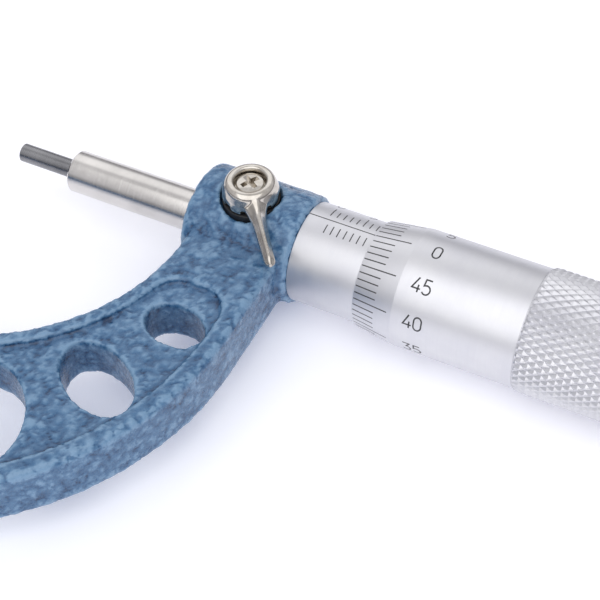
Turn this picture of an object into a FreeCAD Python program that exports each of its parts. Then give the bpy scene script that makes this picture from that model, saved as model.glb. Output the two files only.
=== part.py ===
import FreeCAD, Part
import math
import os

# Outside micrometer with small-diameter measuring pins, range 0 to 25 mm.
# It lies flat: +X runs along the spindle axis from the anvil to the ratchet, -Y is the side of
# the bow, and +Z is up, on the side of the lock lever. The origin is the centre of the anvil's
# measuring face. Millimetres throughout.

# Measuring line
RANGE = 25.0  # travel from closed to fully open
OPENING = 7.5  # gap between the measuring faces as drawn
SPINDLE_R = 3.175
PIN_R = 1.39
PIN_LENGTH = 9.4
PIN_ROOT = 3.5  # length of a pin's root inside its spindle or anvil
ANVIL_STANDOUT = 7.25  # anvil body showing between its boss and its pin
ANVIL_SEAT = 12.0  # anvil body pressed into its boss
SPINDLE_STANDOUT = 4.55  # spindle body showing when the micrometer is fully open
NOSE_CHAMFER = 0.35

# Fits, per side
RUNNING = 0.04
SLEEVE_GAP = 0.09
PART_GAP = 0.3
OVER = 1.0  # how far a cut reaches past the surface it opens

# Frame
THROAT_DEPTH = 38.2  # from the spindle axis to the bottom of the throat
THROAT_STEP = 1.5  # how far the bosses stand into the throat
ARM_WIDTH = 14.1
BOW_WIDTH = 27.2
RIM_HALF = 4.3
RIM_EDGE = 0.9
WEB_HALF = 3.3
OUTER_RIM = 2.6
THROAT_RIM = 2.2
POCKET_TOP = 15.2  # from the spindle axis to the upper ends of the web
POCKET_CORNER = 4.2
HOLE_SLOPES = (11.0, 32.0, 58.8, 90.0)  # degrees below the spindle axis
HOLE_LONG = (4.65, 6.9, 9.2, 9.8)  # half lengths across the bow
HOLE_SHORT = (3.35, 4.35, 7.1, 8.1)  # half lengths along the bow
SPINDLE_BOSS_R = 7.95
SPINDLE_BOSS_LENGTH = 16.85
ANVIL_BOSS_R = 6.6
BOSS_EDGE = 0.7

# Inner sleeve, graduated sleeve and adjusting nut
SLEEVE_R = 7.325
SLEEVE_WALL = 0.825
SLEEVE_LEAD = 2.85  # sleeve showing before its zero line
SLEEVE_TAIL = 2.65  # sleeve beyond its last line
SLEEVE_SEAT = 5.3  # inner sleeve pressed into the spindle boss
SEAT_WALL = 1.9
THREAD_STEP = 0.325  # thread major radius over the shank
THREAD_RELIEF = 0.5
NUT_THREAD = 14.0  # threaded length of the inner sleeve
NUT_LENGTH = 4.4
NUT_WALL = 0.65
NUT_CHAMFER = 0.3
TAPER_STEP = 0.3
NUT_SHOULDER = 0.7
NUT_NOTCH = 1.4
NOTCH_DEPTH = 0.3
TAPER = 0.5
SLIT = 0.6
SLIT_COUNT = 3
SLIT_LAND = 1.0  # solid ring between the slits and the relieved bore
GUIDE_REACH = 0.5  # guide bore running on past the boss

# Spindle beyond the sleeve
SPINDLE_THREAD = 38.5
SPINDLE_CONE = 4.5
CONE_DROP = 0.7
CONE_STEP = 0.2
THREAD_RUNOUT = 0.5
UNDERCUT_LENGTH = 1.0
UNDERCUT_DEPTH = 0.3
THREAD_CHAMFER = 0.3
SHAFT_THREAD_R = 1.7
SHAFT_THREAD = 7.0
TAP_ROOM = 0.5
TAP_POINT = 0.7

# Thimble
LIP_WALL = 0.3
LIP_BEVEL = 6.1
THIMBLE_R = 8.57
KNURL_R = 8.92
KNURL_START = 24.0
KNURL_LENGTH = 16.5
KNURL_CHAMFER = 0.4
THIMBLE_LENGTH = 43.3
TAIL_R = 7.2
TAIL_CONE = 2.0
HUB_START = 35.3
HUB_RELIEF = 1.5

# Ratchet stop
FLANGE_R = 5.2
FLANGE_THICK = 1.6
SHAFT_R = 2.3
KNOB_R = 5.85
KNOB_WALL = 1.15
KNOB_LENGTH = 15.6
KNOB_BACK = 2.6
KNOB_RECESS = 1.9
KNOB_LIP_R = 3.6
WHEEL_R = 4.35
WHEEL_THICK = 1.4
TOOTH_HEIGHT = 0.55
TOOTH_COUNT = 12
TOOTH_SHARE = 0.8  # of the tooth spacing
TOOTH_FOOT = 0.1
KEY_WIDTH = 1.2
KEY_HEIGHT = 0.45
SPRING_WIRE = 0.5
SPRING_R = 3.45
SPRING_TURNS = 4
WASHER_R = 3.1
WASHER_THICK = 0.5
END_SCREW_HEAD_R = 2.2
END_SCREW_HEAD = 1.1
END_SCREW_R = 1.2
END_SCREW_LENGTH = 6.0
SCREW_SLOT = 0.5

# Spindle lock
LOCK_SETBACK = 8.0  # lever axis behind the front of the spindle boss
SPOT_DEPTH = 1.95
SPOT_R = 4.4
SEAT_R = 4.15
SEAT_THICK = 1.35
CLAMP_R = 2.5
CLAMP_PITCH = 0.75
LEVER_THROW = 50.0  # degrees the lever turns to press the pad down
PAD_THICK = 1.15
PAD_SPARE = 0.016  # left between pad and spindle when the lever is turned right home
DRIVE_R = 1.95
DRIVE_HEIGHT = 1.1
DRIVE_ROUND = 1.2  # corner circle of the square drive, of its half width
LEVER_SWING = -50.5  # degrees about +Z from +X to the lever arm
LEVER_SKIRT_R = 4.05
LEVER_SKIRT = 2.0
LEVER_RING_R = 3.55
LEVER_RING = 1.2
LEVER_DISH_R = 2.3
LEVER_DISH = 1.5
LEVER_SHOULDER = 0.5
LEVER_FLARE = 0.15
LEVER_CROWN = 0.4
LEVER_TOP_EDGE = 0.75
DISH_CHAMFER = 0.2
LEVER_REACH = 13.4
LEVER_ROOT_WIDTH = 2.7
LEVER_TIP_WIDTH = 1.9
LEVER_DROP = 2.0
LEVER_ARM_THICK = 1.7
LEVER_ARM_RISE = 0.6  # arm top over the skirt top at the root
LEVER_ARM_ROOT = 1.5
LEVER_ARM_SHOULDER = 0.55  # height of the arm's side walls, of its thickness
LEVER_RIDGE = 0.25  # width of the arm's ridge, of its width
LEVER_NOTCHES = 8
NOTCH_R = 0.75
NOTCH_HEIGHT = 0.7
LEVER_SCREW_HEAD_R = 2.05
LEVER_SCREW_HEAD = 1.1
LEVER_SCREW_R = 0.95
LEVER_SCREW_EDGE = 0.45
LEVER_SCREW_BEND = 0.5
LEVER_SCREW_CROWN = 1.1
LEVER_SCREW_DOME = 0.1
TAP_FLOOR = 0.8
CROSS_WIDTH = 0.6
CROSS_LENGTH = 2.3
CROSS_DEPTH = 0.75

# Places along the measuring line
anvil_boss_x = -(PIN_LENGTH + ANVIL_STANDOUT)
spindle_boss_x = RANGE + PIN_LENGTH + SPINDLE_STANDOUT
boss_end_x = spindle_boss_x + SPINDLE_BOSS_LENGTH
zero_x = boss_end_x + SLEEVE_LEAD
sleeve_end_x = zero_x + RANGE + SLEEVE_TAIL
inner_end_x = sleeve_end_x + NUT_SHOULDER + NUT_LENGTH + PART_GAP
lip_x = zero_x + OPENING
hub_x = lip_x + HUB_START
thimble_end_x = lip_x + THIMBLE_LENGTH
spindle_step_x = OPENING + PIN_LENGTH
cone_x = hub_x + HUB_RELIEF
thread_x = cone_x - SPINDLE_THREAD
spindle_end_x = cone_x + SPINDLE_CONE
flange_end_x = thimble_end_x + FLANGE_THICK
knob_x = flange_end_x + PART_GAP
knob_end_x = knob_x + KNOB_LENGTH
shaft_end_x = knob_end_x - KNOB_RECESS
knob_back_x = shaft_end_x - KNOB_BACK

# Frame outline
mid_x = (anvil_boss_x + spindle_boss_x) / 2
throat_r = (spindle_boss_x - anvil_boss_x) / 2 + THROAT_STEP
throat_y = throat_r - THROAT_DEPTH
outer_r = throat_r + ARM_WIDTH
outer_y = outer_r - THROAT_DEPTH - BOW_WIDTH

# Radii that follow one another
guide_r = SPINDLE_R + RUNNING
thread_r = SPINDLE_R + THREAD_STEP
nut_bore_r = thread_r + RUNNING
relief_r = thread_r + THREAD_RELIEF
inner_r = SLEEVE_R - SLEEVE_WALL
seat_r = inner_r - SEAT_WALL + SLEEVE_WALL
taper_r = inner_r - TAPER_STEP
bore_r = SLEEVE_R + SLEEVE_GAP
lip_r = bore_r + LIP_WALL
cone_r = thread_r - CONE_STEP
knob_bore_r = KNOB_R - KNOB_WALL

# Lock stack, from the spindle up
lock_x = spindle_boss_x + LOCK_SETBACK
spot_z = SPINDLE_BOSS_R - SPOT_DEPTH
seat_top_z = spot_z + SEAT_THICK
pad_lift = CLAMP_PITCH * LEVER_THROW / 360 + PAD_SPARE
pad_low_z = SPINDLE_R + pad_lift
pad_top_z = pad_low_z + PAD_THICK
lever_z = seat_top_z + PART_GAP / 2
skirt_top_z = lever_z + LEVER_SKIRT
lever_top_z = skirt_top_z + LEVER_RING
dish_z = lever_top_z - LEVER_DISH

V = FreeCAD.Vector
X_AXIS = V(1, 0, 0)
Z_AXIS = V(0, 0, 1)
ORIGIN = V(0, 0, 0)


def save(shape, node):
    """Writes one piece as parts/NODE.step."""
    if not shape.isValid() or not shape.Solids:
        raise ValueError("not a valid solid: " + node)
    shape.exportStep("parts/" + node + ".step")


def turned(outline):
    """A solid turned about the X axis from points of (x, radius)."""
    points = [V(x, r, 0) for x, r in outline]
    face = Part.Face(Part.makePolygon(points + [points[0]]))
    return face.revolve(ORIGIN, X_AXIS, 360)


def upright(outline, x):
    """A solid turned about the vertical line at x from points of (radius, z)."""
    points = [V(x + r, 0, z) for r, z in outline]
    face = Part.Face(Part.makePolygon(points + [points[0]]))
    return face.revolve(V(x, 0, 0), Z_AXIS, 360)


def rod(x0, x1, r):
    """A round bar along X."""
    return Part.makeCylinder(r, x1 - x0, V(x0, 0, 0), X_AXIS)


def post(x, z0, z1, r):
    """A round bar along Z."""
    return Part.makeCylinder(r, z1 - z0, V(x, 0, z0), Z_AXIS)


def line(a, b):
    return Part.makeLine(V(a[0], a[1], 0), V(b[0], b[1], 0))


def half_arc(centre_y, r):
    """The lower half of a circle about the middle of the bow, from right to left."""
    right = V(mid_x + r, centre_y, 0)
    low = V(mid_x, centre_y - r, 0)
    left = V(mid_x - r, centre_y, 0)
    return Part.Arc(right, low, left).toShape()


def slab(edges, z0, z1):
    """A flat plate between two heights from the edges of its outline."""
    face = Part.Face(Part.Wire(Part.sortEdges(edges)[0]))
    face.translate(V(0, 0, z0))
    return face.extrude(V(0, 0, z1 - z0))


def bow_plate():
    """The C of the frame at full rim thickness, with rounded rims."""
    right = mid_x + outer_r
    left = mid_x - outer_r
    in_right = mid_x + throat_r
    in_left = mid_x - throat_r
    edges = [
        line((in_right, 0), (right, 0)),
        line((right, 0), (right, outer_y)),
        half_arc(outer_y, outer_r),
        line((left, outer_y), (left, 0)),
        line((left, 0), (in_left, 0)),
        line((in_left, 0), (in_left, throat_y)),
        half_arc(throat_y, throat_r),
        line((in_right, throat_y), (in_right, 0)),
    ]
    plate = slab(edges, -RIM_HALF, RIM_HALF)
    rims = [e for e in plate.Edges if abs(abs(e.CenterOfMass.z) - RIM_HALF) < 1e-6]
    return plate.makeFillet(RIM_EDGE, rims)


def pocket():
    """The sunk web of one face, with rounded ends by the bosses."""
    wall_x = outer_r - OUTER_RIM
    rim_r = throat_r + THROAT_RIM
    top = -POCKET_TOP
    slope = math.asin((throat_y - top) / rim_r)
    in_x = rim_r * math.cos(slope)
    low = V(mid_x, throat_y - rim_r, 0)
    throat_side = Part.Arc(V(mid_x + in_x, top, 0), low, V(mid_x - in_x, top, 0)).toShape()
    edges = [
        line((mid_x + in_x, top), (mid_x + wall_x, top)),
        line((mid_x + wall_x, top), (mid_x + wall_x, outer_y)),
        half_arc(outer_y, wall_x),
        line((mid_x - wall_x, outer_y), (mid_x - wall_x, top)),
        line((mid_x - wall_x, top), (mid_x - in_x, top)),
        throat_side,
    ]
    body = slab(edges, WEB_HALF, RIM_HALF + OVER)
    corners = []
    for e in body.Edges:
        upright_edge = abs(e.tangentAt(e.FirstParameter).z) > 0.99
        if upright_edge and abs(e.CenterOfMass.y - top) < 1e-6:
            corners.append(e)
    return body.makeFillet(POCKET_CORNER, corners)


def web_hole(slope, half_long, half_short):
    """An oval hole through the web, its long axis across the bow."""
    centre_y = (throat_y + outer_y) / 2
    reach = throat_r + ARM_WIDTH / 2
    a = math.radians(-slope)
    centre = V(mid_x + reach * math.cos(a), centre_y + reach * math.sin(a), -RIM_HALF - OVER)
    oval = Part.Ellipse(ORIGIN, half_long, half_short).toShape()
    hole = Part.Face(Part.Wire(oval)).extrude(V(0, 0, 2 * (RIM_HALF + OVER)))
    hole.rotate(ORIGIN, Z_AXIS, -slope)
    hole.translate(centre)
    return hole


def web_holes():
    """The ovals of one side, the middle one, and their mirror images."""
    holes = []
    for slope, half_long, half_short in zip(HOLE_SLOPES, HOLE_LONG, HOLE_SHORT):
        holes.append(web_hole(slope, half_long, half_short))
        if slope < 90:
            holes.append(web_hole(180 - slope, half_long, half_short))
    return holes


def boss(x0, x1, r):
    """A round boss with rounded ends."""
    bar = rod(x0, x1, r)
    ends = [e for e in bar.Edges if abs(e.Length - 2 * math.pi * r) < 1e-6]
    return bar.makeFillet(BOSS_EDGE, ends)


def frame():
    lower_pocket = pocket().mirror(ORIGIN, Z_AXIS)
    bow = bow_plate().cut([pocket(), lower_pocket] + web_holes())
    anvil_boss = boss(mid_x - outer_r, anvil_boss_x, ANVIL_BOSS_R)
    spindle_boss = boss(spindle_boss_x, boss_end_x, SPINDLE_BOSS_R)
    body = bow.fuse([anvil_boss, spindle_boss])
    bores = [
        rod(anvil_boss_x - ANVIL_SEAT, anvil_boss_x + OVER, SPINDLE_R),
        rod(spindle_boss_x - OVER, boss_end_x, guide_r),
        rod(boss_end_x - SLEEVE_SEAT, boss_end_x + OVER, seat_r),
        post(lock_x, 0, SPINDLE_BOSS_R, CLAMP_R),
        post(lock_x, spot_z, SPINDLE_BOSS_R + OVER, SPOT_R),
    ]
    return body.cut(bores).removeSplitter()


def nosed_body(step_x, end_x, facing):
    """A ground bar from its nose at step_x, with a socket for its pin's root."""
    root = step_x + facing * PIN_ROOT
    nose = step_x + facing * NOSE_CHAMFER
    outline = [
        (step_x, PIN_R),
        (step_x, SPINDLE_R - NOSE_CHAMFER),
        (nose, SPINDLE_R),
        (end_x, SPINDLE_R),
        (end_x, 0),
        (root, 0),
        (root, PIN_R),
    ]
    return turned(outline)


def anvil():
    return nosed_body(-PIN_LENGTH, anvil_boss_x - ANVIL_SEAT, -1)


def anvil_pin():
    return rod(-PIN_LENGTH - PIN_ROOT, 0, PIN_R)


def spindle_pin():
    return rod(OPENING, spindle_step_x + PIN_ROOT, PIN_R)


def spindle():
    """Ground shank, threaded length at its major diameter, and cone for the thimble."""
    root = spindle_step_x + PIN_ROOT
    outline = [
        (spindle_step_x, PIN_R),
        (spindle_step_x, SPINDLE_R - NOSE_CHAMFER),
        (spindle_step_x + NOSE_CHAMFER, SPINDLE_R),
        (thread_x - UNDERCUT_LENGTH, SPINDLE_R),
        (thread_x - UNDERCUT_LENGTH, SPINDLE_R - UNDERCUT_DEPTH),
        (thread_x, SPINDLE_R - UNDERCUT_DEPTH),
        (thread_x, thread_r - THREAD_CHAMFER),
        (thread_x + THREAD_CHAMFER, thread_r),
        (cone_x - THREAD_RUNOUT, thread_r),
        (cone_x, cone_r),
        (spindle_end_x, cone_r - CONE_DROP),
        (spindle_end_x, SHAFT_THREAD_R + RUNNING),
        (spindle_end_x - SHAFT_THREAD - TAP_ROOM, SHAFT_THREAD_R + RUNNING),
        (spindle_end_x - SHAFT_THREAD - TAP_ROOM - TAP_POINT, 0),
        (root, 0),
        (root, PIN_R),
    ]
    return turned(outline)


def inner_sleeve():
    """The pressed-in sleeve that guides the spindle and carries the slit nut thread."""
    seat_x = boss_end_x - SLEEVE_SEAT
    relief_x = boss_end_x + GUIDE_REACH
    nut_x = inner_end_x - NUT_THREAD
    outline = [
        (seat_x, guide_r),
        (seat_x, seat_r),
        (boss_end_x, seat_r),
        (boss_end_x, inner_r),
        (sleeve_end_x, inner_r),
        (sleeve_end_x, taper_r),
        (inner_end_x, taper_r - TAPER),
        (inner_end_x, nut_bore_r),
        (nut_x, nut_bore_r),
        (nut_x, relief_r),
        (relief_x, relief_r),
        (relief_x, guide_r),
    ]
    body = turned(outline)
    slits = []
    for i in range(SLIT_COUNT):
        cut = Part.makeBox(NUT_THREAD, SLIT, SLEEVE_R, V(nut_x + SLIT_LAND, -SLIT / 2, 0))
        cut.rotate(ORIGIN, X_AXIS, 360 * i / SLIT_COUNT)
        slits.append(cut)
    return body.cut(slits)


def graduated_sleeve():
    bore = rod(boss_end_x - OVER, sleeve_end_x + OVER, inner_r)
    return rod(boss_end_x, sleeve_end_x, SLEEVE_R).cut(bore)


def adjusting_nut():
    """The taper nut that closes the slit thread, with notches for its hook key."""
    x0 = sleeve_end_x + NUT_SHOULDER
    x1 = x0 + NUT_LENGTH
    slope = TAPER / (inner_end_x - sleeve_end_x)
    outer = taper_r + NUT_WALL
    outline = [
        (x0, taper_r - slope * (x0 - sleeve_end_x)),
        (x0, outer - NUT_CHAMFER),
        (x0 + NUT_CHAMFER, outer),
        (x1 - NUT_CHAMFER, outer),
        (x1, outer - NUT_CHAMFER),
        (x1, taper_r - slope * (x1 - sleeve_end_x)),
    ]
    body = turned(outline)
    notches = []
    for side in (-1, 1):
        low = V(x1 - NUT_NOTCH, -NUT_NOTCH / 2, outer - NOTCH_DEPTH)
        notch = Part.makeBox(NUT_NOTCH + OVER, NUT_NOTCH, NOTCH_DEPTH + OVER, low)
        notch.rotate(ORIGIN, X_AXIS, 90 * side)
        notches.append(notch)
    return body.cut(notches)


def thimble():
    """Bevelled lip, plain barrel, grip at the diameter of its knurl, and coned tail."""
    grip_x = lip_x + KNURL_START
    grip_end = grip_x + KNURL_LENGTH
    bore_cone = cone_r + RUNNING
    outline = [
        (lip_x, bore_r),
        (lip_x, lip_r),
        (lip_x + LIP_BEVEL, THIMBLE_R),
        (grip_x, THIMBLE_R),
        (grip_x + KNURL_CHAMFER, KNURL_R),
        (grip_end - KNURL_CHAMFER, KNURL_R),
        (grip_end, KNURL_R - KNURL_CHAMFER),
        (thimble_end_x - TAIL_CONE, KNURL_R - KNURL_CHAMFER),
        (thimble_end_x, TAIL_R),
        (thimble_end_x, bore_cone - CONE_DROP),
        (spindle_end_x, bore_cone - CONE_DROP),
        (cone_x, bore_cone),
        (cone_x, thread_r + PART_GAP),
        (hub_x, thread_r + PART_GAP),
        (hub_x, bore_r),
    ]
    return turned(outline)


def ratchet_shaft():
    """Screws into the spindle, clamps the thimble on its cone and carries the knob."""
    outline = [
        (spindle_end_x - SHAFT_THREAD, 0),
        (spindle_end_x - SHAFT_THREAD, SHAFT_THREAD_R),
        (thimble_end_x, SHAFT_THREAD_R),
        (thimble_end_x, FLANGE_R),
        (flange_end_x, FLANGE_R),
        (flange_end_x, SHAFT_R),
        (shaft_end_x, SHAFT_R),
        (shaft_end_x, END_SCREW_R),
        (shaft_end_x - END_SCREW_LENGTH, END_SCREW_R),
        (shaft_end_x - END_SCREW_LENGTH, 0),
    ]
    return turned(outline)


def crown(x_base, facing):
    """A ring of saw teeth standing on a disc's face, pointing along facing."""
    ring = None
    step = 2 * math.pi / TOOTH_COUNT
    for i in range(TOOTH_COUNT):
        a0 = i * step
        a1 = a0 + TOOTH_SHARE * step
        inner = SHAFT_R + PART_GAP
        corners = []
        for r in (inner, WHEEL_R - PART_GAP):
            for a in (a0, a1):
                corners.append(V(x_base, r * math.cos(a), r * math.sin(a)))
        low = Part.Face(Part.makePolygon([corners[0], corners[1], corners[3], corners[2], corners[0]]))
        tooth = low.extrude(V(facing * TOOTH_HEIGHT, 0, 0))
        ramp = ramp_cut(x_base, facing, a0, a1)
        tooth = tooth.cut(ramp)
        ring = tooth if ring is None else ring.fuse(tooth)
    return ring


def ramp_cut(x_base, facing, a0, a1):
    """What is taken off a square tooth to leave a saw tooth."""
    r = 2 * WHEEL_R
    top = x_base + facing * (TOOTH_HEIGHT + TOOTH_FOOT)
    foot = V(x_base + facing * TOOTH_FOOT, r * math.cos(a0), r * math.sin(a0))
    foot_top = V(top, r * math.cos(a0), r * math.sin(a0))
    crest_top = V(top, r * math.cos(a1), r * math.sin(a1))
    side = Part.Face(Part.makePolygon([foot, foot_top, crest_top, foot]))
    middle = (a0 + a1) / 2
    inward = V(0, -math.cos(middle), -math.sin(middle)) * (2 * r)
    return side.extrude(inward)


def fixed_ratchet_wheel():
    """The toothed ring pressed on the shaft, against its flange."""
    disc = rod(flange_end_x, flange_end_x + WHEEL_THICK, WHEEL_R)
    disc = disc.cut(rod(flange_end_x - OVER, flange_end_x + WHEEL_THICK + OVER, SHAFT_R))
    return disc.fuse(crown(flange_end_x + WHEEL_THICK, 1)).removeSplitter()


def moving_wheel_x():
    """The tooth side of the moving wheel, lifted so that the crests just clear."""
    return flange_end_x + WHEEL_THICK + 2 * TOOTH_HEIGHT + PART_GAP / 2


def moving_ratchet_wheel():
    """The sprung toothed ring, keyed into the knob by two lugs."""
    x0 = moving_wheel_x()
    disc = rod(x0, x0 + WHEEL_THICK, WHEEL_R)
    keys = []
    for side in (-1, 1):
        height = WHEEL_R + KEY_HEIGHT
        key = Part.makeBox(WHEEL_THICK, KEY_WIDTH, height, V(x0, -KEY_WIDTH / 2, 0))
        key.rotate(ORIGIN, X_AXIS, 90 * side)
        keys.append(key)
    disc = disc.fuse(keys)
    disc = disc.cut(rod(x0 - OVER, x0 + WHEEL_THICK + OVER, SHAFT_R + RUNNING))
    return disc.fuse(crown(x0, -1)).removeSplitter()


def ratchet_knob():
    """The hollow knob, grooved inside for the lugs and recessed for its washer."""
    outline = [
        (knob_x, knob_bore_r),
        (knob_x, KNOB_R - KNURL_CHAMFER),
        (knob_x + KNURL_CHAMFER, KNOB_R),
        (knob_end_x - 2 * KNURL_CHAMFER, KNOB_R),
        (knob_end_x, KNOB_R - 2 * KNURL_CHAMFER),
        (knob_end_x, KNOB_LIP_R),
        (shaft_end_x, KNOB_LIP_R),
        (shaft_end_x, SHAFT_R + RUNNING),
        (knob_back_x, SHAFT_R + RUNNING),
        (knob_back_x, knob_bore_r),
    ]
    body = turned(outline)
    grooves = []
    for side in (-1, 1):
        width = KEY_WIDTH + 2 * RUNNING
        height = WHEEL_R + KEY_HEIGHT + RUNNING
        groove = Part.makeBox(knob_back_x - knob_x, width, height, V(knob_x, -width / 2, 0))
        groove.rotate(ORIGIN, X_AXIS, 90 * side)
        grooves.append(groove)
    return body.cut(grooves)


def ratchet_spring():
    """The coil spring between the moving wheel and the back of the knob."""
    x0 = moving_wheel_x() + WHEEL_THICK + SPRING_WIRE
    x1 = knob_back_x - SPRING_WIRE
    pitch = (x1 - x0) / SPRING_TURNS
    helix = Part.makeHelix(pitch, x1 - x0, SPRING_R)
    section = Part.Wire(Part.makeCircle(SPRING_WIRE / 2, V(SPRING_R, 0, 0), V(0, 1, 0)))
    coil = Part.Wire(helix).makePipeShell([section], True, True)
    coil.rotate(ORIGIN, V(0, 1, 0), 90)
    coil.translate(V(x0, 0, 0))
    return coil


def ratchet_washer():
    washer = rod(shaft_end_x, shaft_end_x + WASHER_THICK, WASHER_R)
    return washer.cut(rod(shaft_end_x - OVER, shaft_end_x + WASHER_THICK + OVER, END_SCREW_R))


def ratchet_screw():
    """The slotted screw that holds the knob on its shaft."""
    head_x = shaft_end_x + WASHER_THICK
    head = rod(head_x, head_x + END_SCREW_HEAD, END_SCREW_HEAD_R)
    shank = rod(shaft_end_x - END_SCREW_LENGTH, head_x, END_SCREW_R)
    slot_x = head_x + END_SCREW_HEAD - SCREW_SLOT
    slot = Part.makeBox(SCREW_SLOT + OVER, SCREW_SLOT, 4 * END_SCREW_HEAD_R)
    slot.translate(V(slot_x, -SCREW_SLOT / 2, -2 * END_SCREW_HEAD_R))
    return head.fuse(shank).cut(slot).removeSplitter()


def lock_seat():
    seat = post(lock_x, spot_z, seat_top_z, SEAT_R)
    return seat.cut(post(lock_x, spot_z - OVER, seat_top_z + OVER, CLAMP_R + PART_GAP / 2))


def lock_pad():
    """The brass pad that bears on the spindle, hollowed to the spindle's curve."""
    pad = post(lock_x, 0, pad_top_z, CLAMP_R - RUNNING)
    hollow = Part.makeCylinder(SPINDLE_R, 4 * CLAMP_R, V(lock_x - 2 * CLAMP_R, 0, pad_lift), X_AXIS)
    below = Part.makeBox(4 * CLAMP_R, 4 * CLAMP_R, SPINDLE_R)
    below.translate(V(lock_x - 2 * CLAMP_R, -2 * CLAMP_R, -pad_lift))
    trim = below.translated(V(0, 0, -SPINDLE_R + 2 * pad_lift))
    return pad.cut([hollow, trim])


def clamp_screw():
    """The threaded plug over the pad, with a square drive for the lever."""
    low = pad_top_z + RUNNING
    outline = [(0, low), (CLAMP_R - RUNNING, low), (CLAMP_R - RUNNING, lever_z), (0, lever_z)]
    plug = upright(outline, lock_x)
    drive = Part.makeBox(2 * DRIVE_R, 2 * DRIVE_R, DRIVE_HEIGHT)
    drive.translate(V(-DRIVE_R, -DRIVE_R, lever_z))
    drive.rotate(ORIGIN, Z_AXIS, LEVER_SWING)
    drive.translate(V(lock_x, 0, 0))
    drive = drive.common(post(lock_x, lever_z, lever_z + DRIVE_HEIGHT, DRIVE_ROUND * DRIVE_R))
    tapped = post(lock_x, low + TAP_FLOOR, lever_z + DRIVE_HEIGHT + OVER, LEVER_SCREW_R)
    return plug.fuse(drive).cut(tapped).removeSplitter()


def arm_section(reach, width, low):
    """The arm's outline across its length: upright sides under a narrow ridge."""
    half = width / 2
    ridge = LEVER_RIDGE * half
    shoulder = low + LEVER_ARM_SHOULDER * LEVER_ARM_THICK
    top = low + LEVER_ARM_THICK
    outline = [(-half, low), (half, low), (half, shoulder), (ridge, top), (-ridge, top), (-half, shoulder)]
    points = [V(reach, y, z) for y, z in outline]
    return Part.makePolygon(points + [points[0]])


def lever_arm():
    """The ridged arm along +X, tapering and sloping down to its rounded tip."""
    root_low = skirt_top_z + LEVER_ARM_RISE - LEVER_ARM_THICK
    tip_low = root_low - LEVER_DROP
    tip_x = LEVER_REACH - LEVER_TIP_WIDTH / 2
    root = arm_section(LEVER_ARM_ROOT, LEVER_ROOT_WIDTH, root_low)
    end = arm_section(tip_x, LEVER_TIP_WIDTH, tip_low)
    tip = Part.makeCylinder(LEVER_TIP_WIDTH / 2, LEVER_ARM_SHOULDER * LEVER_ARM_THICK, V(tip_x, 0, tip_low))
    return Part.makeLoft([root, end], True, True).fuse(tip)


def lock_lever():
    """The ring head with its dished top, notched skirt and arm, swung to its rest angle."""
    outline = [
        (0, lever_z),
        (LEVER_SKIRT_R, lever_z),
        (LEVER_SKIRT_R, skirt_top_z - LEVER_SHOULDER),
        (LEVER_RING_R + LEVER_FLARE, skirt_top_z + LEVER_SHOULDER),
        (LEVER_RING_R - LEVER_CROWN, lever_top_z - LEVER_FLARE),
        (LEVER_RING_R - LEVER_TOP_EDGE, lever_top_z),
        (LEVER_DISH_R + DISH_CHAMFER, lever_top_z),
        (LEVER_DISH_R, lever_top_z - DISH_CHAMFER),
        (LEVER_DISH_R, dish_z),
        (0, dish_z),
    ]
    head = upright(outline, 0)
    notches = []
    for i in range(LEVER_NOTCHES):
        a = math.radians(360 * (i + 0.5) / LEVER_NOTCHES)
        centre = V(LEVER_SKIRT_R * math.cos(a), LEVER_SKIRT_R * math.sin(a), lever_z - OVER)
        notches.append(Part.makeCylinder(NOTCH_R, NOTCH_HEIGHT + OVER, centre, Z_AXIS))
    head = head.cut(notches).fuse(lever_arm())
    dish = Part.makeCylinder(LEVER_DISH_R, 2 * LEVER_DISH, V(0, 0, dish_z), Z_AXIS)
    below = V(0, 0, lever_z - OVER)
    bore = Part.makeCylinder(LEVER_SCREW_R + RUNNING, lever_top_z - lever_z + OVER, below, Z_AXIS)
    half = DRIVE_R + RUNNING
    socket = Part.makeBox(2 * half, 2 * half, DRIVE_HEIGHT + RUNNING, V(-half, -half, lever_z))
    corner_r = DRIVE_ROUND * DRIVE_R + RUNNING
    socket = socket.common(Part.makeCylinder(corner_r, lever_top_z - lever_z + OVER, below, Z_AXIS))
    lever = head.cut([dish, bore, socket]).removeSplitter()
    lever.rotate(ORIGIN, Z_AXIS, LEVER_SWING)
    lever.translate(V(lock_x, 0, 0))
    return lever


def lever_screw():
    """The cross-recessed screw that holds the lever on its plug."""
    head_top = dish_z + LEVER_SCREW_HEAD
    foot = pad_top_z + RUNNING + TAP_FLOOR + RUNNING
    outline = [
        (0, foot),
        (LEVER_SCREW_R, foot),
        (LEVER_SCREW_R, dish_z),
        (LEVER_SCREW_HEAD_R, dish_z),
        (LEVER_SCREW_HEAD_R, head_top - LEVER_SCREW_EDGE),
        (LEVER_SCREW_HEAD_R - LEVER_SCREW_BEND, head_top - LEVER_SCREW_DOME),
        (LEVER_SCREW_HEAD_R - LEVER_SCREW_CROWN, head_top),
        (0, head_top),
    ]
    screw = upright(outline, 0)
    cross = []
    for turn in (0, 90):
        bar = Part.makeBox(CROSS_LENGTH, CROSS_WIDTH, CROSS_DEPTH + OVER)
        bar.translate(V(-CROSS_LENGTH / 2, -CROSS_WIDTH / 2, head_top - CROSS_DEPTH))
        bar.rotate(ORIGIN, Z_AXIS, turn + LEVER_SWING / 2)
        cross.append(bar)
    screw = screw.cut(cross)
    screw.translate(V(lock_x, 0, 0))
    return screw


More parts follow.
